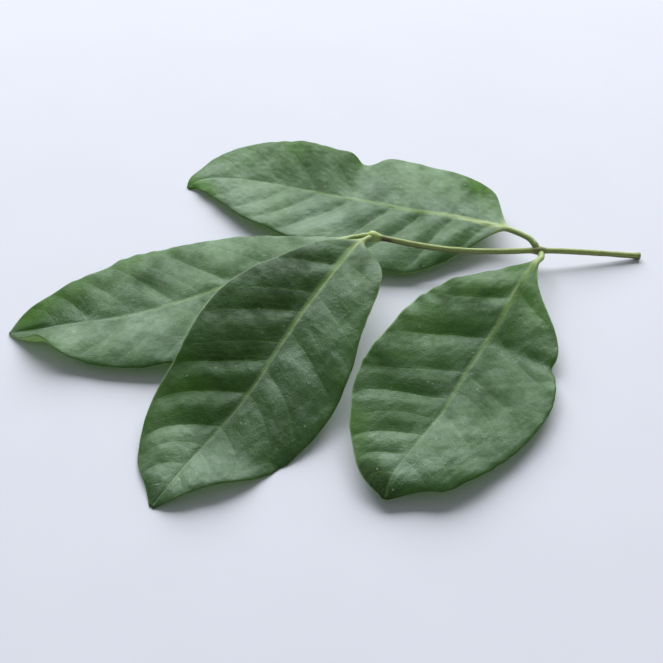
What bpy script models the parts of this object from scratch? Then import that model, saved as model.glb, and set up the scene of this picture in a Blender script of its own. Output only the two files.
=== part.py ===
"""Cut sprig of Indonesian bay leaf, lying down: two pairs of leaves on one thin twig.

All lengths are millimetres until a mesh is made, and metres from there on.
X runs along the twig towards its cut end, Y away from the nearest leaf tip, Z up.
The sprig lies on the plane z = 0 and the origin is below the middle of its outline.
"""
import math

import bpy
import numpy as np

MILLIMETRE = 0.001

# Thicknesses and radii that every leaf shares
BLADE_THICKNESS = 0.6
LEAST_HALF_WIDTH = 0.3
RIB_DEPTH = 0.8
RIB_TAPER = 0.8
RIB_HALF_WIDTH = 1.0
PETIOLE_RADIUS = 0.75
FOOT_RADIUS = 0.6

# Twig: its plain radius, the radii of its three swellings and how far each one runs
TWIG_RADIUS = 0.72
CUT_END_RADIUS = 0.95
CUT_END_RUN = 1.5
NODE_RADIUS = 1.2
NODE_RUN = 1.6
KNOB_RADIUS = 1.35
KNOB_RUN = 2.0
KNOB_INSET = 1.9

# Venation: a lateral vein leaves the rib at its share and sweeps this much of the
# blade towards the tip before it meets the margin.
VEIN_SWEEP = 0.17
SWEEP_POWER = 1.25
GROOVE_SPREAD = 0.065
GROOVE_BOTTOM = 0.005

# Pillows between the veins: they rise from the rib within one share of the half blade
# and calm down by another share from the middle out to the margin.
PILLOW_RISE = 0.4
PILLOW_START = 0.15
PILLOW_MIDDLE = 0.45
PILLOW_CALM = 0.7

# The arch and the pillows die away where the half blade is narrower than this, and the
# arch within this share of either end
CROWN_WIDTH = 15
PILLOW_WIDTH = 8
END_SHARE = 0.15

# Fineness of the blades
BLADE_ROWS = 36
PETIOLE_ROWS = 5
HALF_COLUMNS = (0.05, 0.17, 0.34, 0.55, 0.78, 1.0)
ROUND_SHARE = 0.9
BLEND_SHARE = 0.06
TIP_SHARE = 0.12
TWIG_ROWS = 30
TWIG_SIDES = 12

# Shares of the blade, base to tip: the first for half widths, the second for lifts and crowns
WIDTH_SHARES = (0, .05, .1, .16, .24, .33, .42, .5, .58, .66, .74, .82, .89, .95, 1)
LIFT_SHARES = (0, .15, .3, .45, .6, .75, .9, 1)

# Each leaf, seen from the twig with the upper face up:
#   rib       centre line from the foot of the petiole to the tip
#   petiole   length of the bare stalk
#   left, right
#       width   distance from the rib to the margin
#       lift    height of the margin over the rib
#       crown   height of the arch between rib and margin
#       veins   share and groove depth of each lateral vein
#       folds   share, inward depth, spread and drop of a fold in the margin
LEAVES = {
    "leaf_back": {
        "rib": [
            (61.6, 22.4, 6.2), (60, 24.2, 7.1), (57.5, 26.2, 7.3), (54.5, 28.4, 7.1), (45, 33.6, 5.9),
            (34.5, 37.9, 5.1), (23.5, 41, 4.5), (13, 45, 4), (2, 48.2, 3.8), (-9, 52.1, 3.4),
            (-20.5, 55.4, 3.6), (-32, 58.3, 3.2), (-42, 59.3, 2.4), (-46.2, 58.7, 1.2), (-48.2, 57.4, 0),
        ],
        "petiole": 9.5,
        "left": {
            "width": (.8, 6.6, 13.8, 21.4, 26.4, 28.4, 28.8, 27.5, 24.9, 22.4, 19.8, 15.6, 10.4, 5.4, .8),
            "lift": (0, -2.2, -1.2, 0.6, 1.0, 0.8, 0, 0),
            "crown": (0, 1.5, 1.0, 0.6, 0.3, 0.3, 0.3, 0),
            "veins": ((.07, .7), (.17, 1.0), (.27, 1.2), (.36, 1.2), (.49, 1.1), (.59, .9), (.68, .8),
                      (.80, .5), (.89, .3)),
            "folds": (),
        },
        "right": {
            "width": (.8, 8.3, 15.2, 20.2, 23.4, 24.6, 25, 23.2, 21.2, 21.4, 19.8, 17.4, 13.2, 5.8, .7),
            "lift": (0, -0.3, -0.8, 0, 2.4, 2.8, 0.4, 0),
            "crown": (0, 0.2, 0.2, 0.2, 0.2, 0.2, 0.2, 0),
            "veins": ((.10, .4), (.22, .5), (.35, .5), (.47, .7), (.60, .5), (.72, .5), (.83, .4)),
            "folds": ((.483, 3.2, .045, 2.4),),
        },
    },
    "leaf_left": {
        "rib": [
            (9, 21.4, 10.6), (5, 21.5, 9.8), (0.5, 20.3, 9.2), (-10.5, 15.5, 8), (-23, 9.5, 6.5),
            (-35.5, 3.5, 5), (-46.5, -1, 4), (-63, -6, 3), (-78, -8.2, 2.2), (-89, -8.9, 0.3),
            (-95.5, -10.3, 0),
        ],
        "petiole": 3.5,
        "left": {
            "width": (.8, 4.5, 8.5, 12.5, 16.5, 20, 22, 23, 23.5, 22.3, 19.4, 15.8, 11, 4, .5),
            "lift": (0, -1.5, -2.0, -0.4, 0.8, 0.5, 1.8, 0),
            "crown": (0, 0.8, 0.8, 0.8, 0.7, 0.6, 0.4, 0),
            "veins": ((.10, .4), (.22, .5), (.34, .5), (.46, .5), (.57, .5), (.68, .5), (.79, .4),
                      (.88, .3)),
            "folds": (),
        },
        "right": {
            "width": (.8, 3, 6.1, 10.3, 16.2, 21, 23.5, 24.5, 24.6, 22.8, 19.2, 15.9, 12, 7.2, .7),
            "lift": (0, -0.6, -1.2, -0.6, 1.0, 2.0, 2.2, 0),
            "crown": (0, 0.3, 0.3, 0.3, 0.2, 0.1, 0, 0),
            "veins": ((.12, .4), (.25, .7), (.37, 1.1), (.46, .4), (.54, 1.1), (.66, .5), (.78, .8),
                      (.87, .4)),
            "folds": (),
        },
    },
    "leaf_front": {
        "rib": [
            (10.3, 19.2, 11.2), (7, 16.6, 11.8), (3, 10.6, 11.9), (0, 5.5, 11.5), (-5.5, -4, 10.5),
            (-11, -13.6, 9.1), (-17.5, -25.6, 6.6), (-23.5, -36.5, 4), (-33, -51, 2),
            (-40.5, -63, 2.3), (-44.6, -69.8, 1.8), (-48, -73.8, 0),
        ],
        "petiole": 2.5,
        "left": {
            "width": (.8, 7.9, 12.9, 16, 17.9, 19.8, 22.3, 23.6, 24, 22.9, 20.6, 16.7, 10.5, 4.8, .8),
            "lift": (0, 2.2, 1.2, 0.2, -0.4, -1.5, 2.0, 0),
            "crown": (0, 0.3, 0.3, 0.8, 0.6, 0.6, 0.6, 0),
            "veins": ((.11, .6), (.25, .6), (.39, .8), (.52, .6), (.60, .5), (.72, .5), (.81, .4),
                      (.90, .3)),
            "folds": (),
        },
        "right": {
            "width": (.8, 6.8, 10.5, 13.4, 18, 21.8, 23.7, 23.5, 22.4, 21.5, 20.2, 17.7, 13.7, 7.8, .9),
            "lift": (0, 2.6, 4.8, 6.8, 7.6, 4.4, -1.0, 0),
            "crown": (0, 0.6, 0.8, 0, 0, 0.2, 0.6, 0),
            "veins": ((.06, .4), (.13, 1.2), (.25, .5), (.32, 1.1), (.43, .5), (.49, 1.3), (.60, 1.2),
                      (.72, 1.1), (.79, .5), (.86, .6), (.93, .3)),
            "folds": (),
        },
    },
    "leaf_right": {
        "rib": [
            (63.2, 19.5, 4.8), (63.1, 17.8, 5.3), (62, 15.3, 6.5), (60.5, 12.7, 7.6), (55.5, 4.2, 7.8),
            (51, -4.1, 6.6), (46.5, -12.7, 4.7), (40.5, -22, 3), (35, -31.9, 2.4), (30, -42.3, 2.8),
            (24, -52, 3.5), (18.5, -60.6, 4.1), (14.5, -67.2, 3.9), (12.7, -73.2, 2.6),
        ],
        "petiole": 4.5,
        "left": {
            "width": (.8, 1.7, 3.8, 8, 15, 20.4, 24.4, 26.5, 26.5, 24.7, 22.2, 19.2, 15.2, 10, .9),
            "lift": (0, -0.6, -1.2, 1.0, 1.2, 0.4, 0.4, 0),
            "crown": (0, -0.6, -0.4, -0.4, 0.2, 0.6, 0.6, 0),
            "veins": ((.06, .4), (.16, .8), (.33, .7), (.50, .5), (.57, .6), (.67, .5), (.78, .4),
                      (.87, .3)),
            "folds": ((.355, 1.6, .022, 1.2),),
        },
        "right": {
            "width": (.8, 2.6, 7.4, 14, 20, 23, 24, 24.3, 25, 25.4, 23.9, 19.9, 15.2, 8, .9),
            "lift": (0, -0.4, 3.6, 7, 8.2, 5, 1.2, 0),
            "crown": (0, 0.2, 0, -0.6, -0.6, 0, -0.5, 0),
            "veins": ((.08, .5), (.20, 1.2), (.36, 1.2), (.50, .6), (.61, 1.1), (.70, .4), (.77, 1.1),
                      (.85, .8), (.92, .4)),
            "folds": (),
        },
    },
}

# Twig: centre line from the cut end, over the node of the back pair, to the knob that
# carries the front pair
CUT_END = (94.6, 23.2, 0.9)
NODE = (62.5, 21.2, 5)
TWIG_PATH = [
    CUT_END, (93, 23.1, 1.15), (82, 22.4, 2.8), (70, 21.6, 4.4), NODE, (50.5, 19.3, 6.3),
    (39, 18, 7.8), (29, 18, 9.2), (24, 18.6, 9.8), (16, 20, 10.7), (9.6, 21.2, 11.1),
]


def through(where, knots, values):
    """Smooth curve through hand-set knots, with the slope of its neighbours at each."""
    knots = np.asarray(knots, float)
    values = np.asarray(values, float)
    where = np.asarray(where, float)
    slopes = np.gradient(values, knots, axis=0)
    i = np.clip(np.searchsorted(knots, where, side="right") - 1, 0, len(knots) - 2)
    step = knots[i + 1] - knots[i]
    f = (where - knots[i]) / step
    if values.ndim == 2:
        step = step[..., None]
        f = f[..., None]
    start = (2 * f ** 3 - 3 * f ** 2 + 1) * values[i] + (f ** 3 - 2 * f ** 2 + f) * step * slopes[i]
    end = (3 * f ** 2 - 2 * f ** 3) * values[i + 1] + (f ** 3 - f ** 2) * step * slopes[i + 1]
    return start + end


class Path:
    """Smooth line through points, read by its share of the whole length."""

    def __init__(self, points):
        self.points = np.array(points, float)
        chords = np.linalg.norm(np.diff(self.points, axis=0), axis=1)
        self.knots = np.concatenate(([0.0], np.cumsum(chords)))
        self.fine = np.linspace(0, self.knots[-1], 801)
        line = through(self.fine, self.knots, self.points)
        run = np.cumsum(np.linalg.norm(np.diff(line, axis=0), axis=1))
        self.length = run[-1]
        self.shares = np.concatenate(([0.0], run / run[-1]))

    def at(self, share):
        return through(np.interp(share, self.shares, self.fine), self.knots, self.points)

    def heading(self, share):
        step = 0.01
        ahead = self.at(np.clip(share + step, 0, 1))
        behind = self.at(np.clip(share - step, 0, 1))
        run = ahead - behind
        return run / np.linalg.norm(run, axis=-1, keepdims=True)


def level_left(heading):
    """Level direction to the left of a heading."""
    left = np.stack([-heading[..., 1], heading[..., 0], np.zeros(heading.shape[:-1])], -1)
    return left / np.linalg.norm(left, axis=-1, keepdims=True)


def groove(offset):
    """Depth of a vein's groove: a narrow bottom that eases out at one spread."""
    away = np.hypot(offset, GROOVE_BOTTOM) - GROOVE_BOTTOM
    return np.clip(1 - away / GROOVE_SPREAD, 0, 1) ** 2


def half_blade(half, along, line, across):
    """Reach and height over the rib of one half of a blade.

    along is the share of the blade that a point lies at, line the share where its
    vein line starts on the rib, across 0 at the rib and 1 at the margin.
    """
    width = through(along, WIDTH_SHARES, half["width"])
    lift = through(along, LIFT_SHARES, half["lift"])
    for share, depth, spread, drop in half["folds"]:
        fold = np.exp(-((along - share) / spread) ** 2)
        width = width - depth * fold
        lift = lift - drop * fold
    width = np.maximum(width, LEAST_HALF_WIDTH)
    ends = np.clip(np.minimum(along, 1 - along) / END_SHARE, 0, 1)
    crown = through(along, LIFT_SHARES, half["crown"])
    arch = crown * np.clip(width / CROWN_WIDTH, 0, 1) * ends
    height = lift * across + arch * 4 * across * (1 - across)
    pillow = PILLOW_RISE - sum(depth * groove(line - share) for share, depth in half["veins"])
    outward = np.clip((across - PILLOW_MIDDLE) / (1 - PILLOW_MIDDLE), 0, 1)
    fade = np.clip(across / PILLOW_START, 0, 1) * (1 - PILLOW_CALM * outward)
    height = height + pillow * fade * np.clip(width / PILLOW_WIDTH, 0, 1)
    return width * across, height


def blade_surface(leaf, path, line, across):
    """Middle surface of a blade, and how far each point reaches to the left of the rib.

    across runs from -1 at the right margin to 1 at the left margin.
    """
    out = np.abs(across)
    along = line + VEIN_SWEEP * 4 * line * (1 - line) * out ** SWEEP_POWER
    foot = leaf["petiole"] / path.length
    share = foot + (1 - foot) * along
    left_reach, left_height = half_blade(leaf["left"], along, line, out)
    right_reach, right_height = half_blade(leaf["right"], along, line, out)
    on_left = across > 0
    reach = np.where(on_left, left_reach, -right_reach)
    point = path.at(share) + level_left(path.heading(share)) * reach[..., None]
    point[..., 2] += np.where(on_left, left_height, right_height)
    return point, reach


def thickness_direction(points, line):
    """Direction of the thickness on a grid that runs rib-wise and then leftwards.

    It is the surface's own normal, and turns plumb where the blade narrows to its tip.
    """
    normal = np.cross(np.gradient(points, axis=0), np.gradient(points, axis=1))
    normal /= np.linalg.norm(normal, axis=-1, keepdims=True)
    hold = np.clip((1 - line) / TIP_SHARE, 0, 1)[..., None]
    direction = normal * hold + np.array((0, 0, 1)) * (1 - hold)
    return direction / np.linalg.norm(direction, axis=-1, keepdims=True)


def leaf_faces_of(leaf):
    """Upper and under skins of a leaf, petiole and blade in one, as two like grids."""
    path = Path(leaf["rib"])
    half = np.array(HALF_COLUMNS)
    across = np.concatenate((-half[::-1], [0.0], half))
    columns = len(across)

    # Blade
    line, cross = np.meshgrid(np.linspace(0, 1, BLADE_ROWS), across, indexing="ij")
    middle, reach = blade_surface(leaf, path, line, cross)
    normal = thickness_direction(middle, line)
    ridge = RIB_DEPTH * (1 - RIB_TAPER * line) * np.exp(-((reach / RIB_HALF_WIDTH) ** 2))
    blade_top = middle + normal * (BLADE_THICKNESS / 2)
    blade_under = middle - normal * (BLADE_THICKNESS / 2 + ridge)[..., None]

    # Petiole, and the round section that the blade grows out of
    foot = leaf["petiole"] / path.length
    petiole_shares = np.linspace(0, foot, PETIOLE_ROWS + 1)[:-1]
    blade_shares = foot + (1 - foot) * np.linspace(0, 1, BLADE_ROWS)
    shares = np.concatenate((petiole_shares, blade_shares))
    radius = np.interp(shares / foot, (0, 0.25, 1), (FOOT_RADIUS, PETIOLE_RADIUS, PETIOLE_RADIUS))
    heading = path.heading(shares)
    left = level_left(heading)
    up = np.cross(heading, left)
    angle = math.pi * (0.5 + ROUND_SHARE * (0.5 - np.linspace(0, 1, columns)))
    side = radius[:, None, None] * np.cos(angle)[None, :, None] * left[:, None, :]
    rise = radius[:, None, None] * np.sin(angle)[None, :, None] * up[:, None, :]
    centre = path.at(shares)[:, None, :]
    round_top = centre + side + rise
    round_under = centre + side - rise

    top = round_top.copy()
    under = round_under.copy()
    blend = np.clip(line[:, :1] / BLEND_SHARE, 0, 1)
    blend = (blend ** 2 * (3 - 2 * blend))[..., None]
    top[PETIOLE_ROWS:] = round_top[PETIOLE_ROWS:] * (1 - blend) + blade_top * blend
    under[PETIOLE_ROWS:] = round_under[PETIOLE_ROWS:] * (1 - blend) + blade_under * blend

    # What would sink into the table lies flat on it
    under[..., 2] = np.maximum(under[..., 2], 0)
    top[..., 2] = np.maximum(top[..., 2], under[..., 2] + BLADE_THICKNESS)
    return top, under


def shell(top, under):
    """Closed skin from two like grids, split into triangles alike above and below."""
    rows, columns = top.shape[:2]
    points = np.concatenate((top.reshape(-1, 3), under.reshape(-1, 3)))
    below = rows * columns
    faces = []
    for i in range(rows - 1):
        for k in range(columns - 1):
            a = i * columns + k
            b, c, d = a + columns, a + columns + 1, a + 1
            pair = [(a, b, c), (a, c, d)] if k >= columns // 2 else [(a, b, d), (b, c, d)]
            faces += pair
            faces += [tuple(below + n for n in reversed(face)) for face in pair]
        for edge, turn in ((0, 1), (columns - 1, -1)):
            a = i * columns + edge
            b = a + columns
            faces += [(below + a, below + b, b)[::turn], (below + a, b, a)[::turn]]
    for row, turn in ((0, 1), (rows - 1, -1)):
        for k in range(columns - 1):
            a = row * columns + k
            faces += [(below + a, a, a + 1)[::turn], (below + a, a + 1, below + a + 1)[::turn]]
    return points, faces


def twig_radius(path, share):
    """Radius along the twig: a swollen node at the back pair and a knob at the front pair."""
    place = share * path.length
    node = math.dist(NODE, CUT_END)
    knob = path.length - KNOB_INSET
    radius = np.full_like(place, TWIG_RADIUS)
    radius += (CUT_END_RADIUS - TWIG_RADIUS) * np.exp(-(place / CUT_END_RUN) ** 2)
    radius += (NODE_RADIUS - TWIG_RADIUS) * np.exp(-((place - node) / NODE_RUN) ** 2)
    radius += (KNOB_RADIUS - TWIG_RADIUS) * np.exp(-((place - knob) / KNOB_RUN) ** 2)
    from_tip = np.clip((path.length - place) / KNOB_RADIUS, 0, 1)
    return radius * np.sqrt(np.clip(1 - (1 - from_tip) ** 2, 0.04, 1))


def twig_rings():
    """Points of the twig, ring by ring from the cut end."""
    path = Path(TWIG_PATH)
    node = math.dist(NODE, CUT_END) / path.length
    tip = np.array((4.2, 3.2, 2.2, 1.4, 0.8, 0.35, 0.0)) / path.length
    swelling = np.array((-3.2, -1.8, -0.9, 0, 0.9, 1.8, 3.2)) / path.length
    cut = np.array((0, 0.6, 1.4, 2.6)) / path.length
    even = np.linspace(0, 1, TWIG_ROWS)
    even = even[(np.abs(even - node) > 0.05) & (even > 0.04) & (even < 0.94)]
    shares = np.sort(np.concatenate((cut, even, node + swelling, 1 - tip)))
    heading = path.heading(shares)
    left = level_left(heading)
    up = np.cross(heading, left)
    turn = 2 * math.pi * np.arange(TWIG_SIDES) / TWIG_SIDES
    ring = np.cos(turn)[None, :, None] * left[:, None, :] + np.sin(turn)[None, :, None] * up[:, None, :]
    points = path.at(shares)[:, None, :] + twig_radius(path, shares)[:, None, None] * ring
    points[..., 2] = np.maximum(points[..., 2], 0)
    return points


def tube(rings):
    """Closed tube from rings of points, with a fan over each end."""
    rows, sides = rings.shape[:2]
    points = np.concatenate((rings.reshape(-1, 3), rings[:1].mean(axis=1), rings[-1:].mean(axis=1)))
    first, last = rows * sides, rows * sides + 1
    faces = []
    for k in range(sides):
        after = (k + 1) % sides
        for i in range(rows - 1):
            a, d = i * sides + k, i * sides + after
            faces += [(a, a + sides, d + sides)[::-1], (a, d + sides, d)[::-1]]
        end = (rows - 1) * sides
        faces += [(first, k, after)[::-1], (last, end + k, end + after)]
    return points, faces


def finish(name, colour, roughness):
    """Principled material of one part."""
    material = bpy.data.materials.new(name)
    material.use_nodes = True
    shader = material.node_tree.nodes["Principled BSDF"]
    shader.inputs["Base Color"].default_value = (*colour, 1)
    shader.inputs["Roughness"].default_value = roughness
    shader.inputs["Metallic"].default_value = 0
    return material


def add_part(name, points, faces, material):
    """One named solid with its own material."""
    mesh = bpy.data.meshes.new(name)
    mesh.from_pydata((points * MILLIMETRE).tolist(), [], faces)
    mesh.materials.append(material)
    mesh.shade_smooth()
    mesh.update()
    part = bpy.data.objects.new(name, mesh)
    bpy.context.scene.collection.objects.link(part)
    return part


def clear_scene():
    for old in list(bpy.data.objects):
        bpy.data.objects.remove(old, do_unlink=True)


def build():
    clear_scene()
    bark = finish("twig_bark", (0.20, 0.22, 0.09), 0.6)
    add_part("twig", *tube(twig_rings()), bark)
    for name, leaf in LEAVES.items():
        green = finish(name + "_green", (0.06, 0.12, 0.05), 0.45)
        add_part(name, *shell(*leaf_faces_of(leaf)), green)


build()
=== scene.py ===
"""Indonesian bay leaf: a cut sprig of four leaves on one twig, lying on a pale surface.

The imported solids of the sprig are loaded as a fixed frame. A finer leaf takes the place
of each leaf solid and a finer twig the place of the twig solid, each with a procedural
material of its own. Lengths are millimetres until a mesh is made.
"""
import math

import bpy
import numpy as np
from bpy.props import FloatProperty, FloatVectorProperty, PointerProperty
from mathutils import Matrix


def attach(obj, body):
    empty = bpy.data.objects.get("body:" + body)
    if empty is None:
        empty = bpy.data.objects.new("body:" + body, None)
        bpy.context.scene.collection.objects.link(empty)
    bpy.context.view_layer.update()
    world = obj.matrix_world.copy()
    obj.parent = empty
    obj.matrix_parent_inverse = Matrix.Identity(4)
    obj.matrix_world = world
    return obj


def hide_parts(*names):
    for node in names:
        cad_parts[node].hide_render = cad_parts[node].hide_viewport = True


bl_info = {
    "name": "Indonesian bay leaf sprig",
    "version": (1, 0, 0),
    "blender": (4, 5, 0),
    "location": "View3D > Sidebar > Bay leaf",
    "description": "Four bay leaves on a twig, with ribs, veins and quilted blades",
    "category": "Add Mesh",
}

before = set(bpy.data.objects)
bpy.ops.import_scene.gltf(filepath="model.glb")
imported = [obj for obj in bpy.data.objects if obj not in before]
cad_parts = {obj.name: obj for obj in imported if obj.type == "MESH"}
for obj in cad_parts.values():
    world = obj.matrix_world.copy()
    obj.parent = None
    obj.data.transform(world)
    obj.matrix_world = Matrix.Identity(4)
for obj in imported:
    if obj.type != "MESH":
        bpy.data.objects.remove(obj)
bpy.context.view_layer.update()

MILLIMETRE = 0.001
BODY = "root"

# Shares of the blade, base to tip: the first for half widths, the second for lifts and crowns
WIDTH_SHARES = (0, .05, .1, .16, .24, .33, .42, .5, .58, .66, .74, .82, .89, .95, 1)
LIFT_SHARES = (0, .15, .3, .45, .6, .75, .9, 1)

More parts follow.
